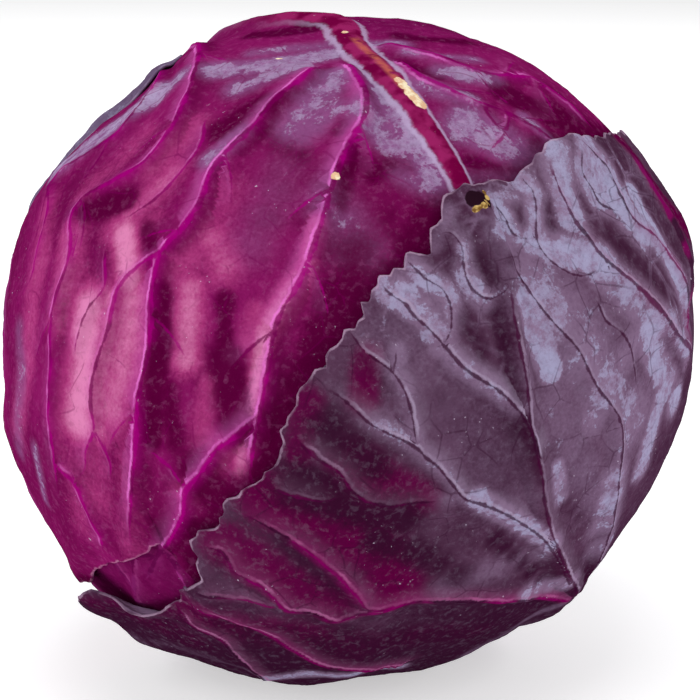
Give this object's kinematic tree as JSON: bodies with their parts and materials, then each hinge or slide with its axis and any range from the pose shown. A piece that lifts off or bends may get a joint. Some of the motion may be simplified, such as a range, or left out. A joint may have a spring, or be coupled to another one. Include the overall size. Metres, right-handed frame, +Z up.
{
  "type": "red cabbage head",
  "caption": "Whole red cabbage head lying on its side: veined wrapper leaves with ragged edges folded over a dense round heart, cut stump behind.",
  "frame": {"origin": "centre of the bounding box on the ground, under the pressed spot that the head rests on", "axes": "+Z up; -Y towards the viewer of the picture, who looks at the crown; +X to the viewer's right; the cut stump points back, left and down"},
  "size_m": [0.159, 0.1606, 0.1511],
  "materials": {
    "heart_leaf": "waxy satin",
    "cut_stem": "moist matt cut face",
    "young_leaf": "waxy satin",
    "magenta_leaf": "waxy satin with a pale bloom in patches",
    "bloomed_leaf": "waxy satin under a grey bloom",
    "old_leaf": "matt waxy bloom"
  },
  "bodies": {
    "root": {"heart": "heart_leaf", "stem": "cut_stem", "leaf_inner_left": "young_leaf", "leaf_top": "magenta_leaf", "leaf_front": "bloomed_leaf", "leaf_back_left": "old_leaf", "leaf_back_right": "old_leaf"}
  },
  "joints": []
}
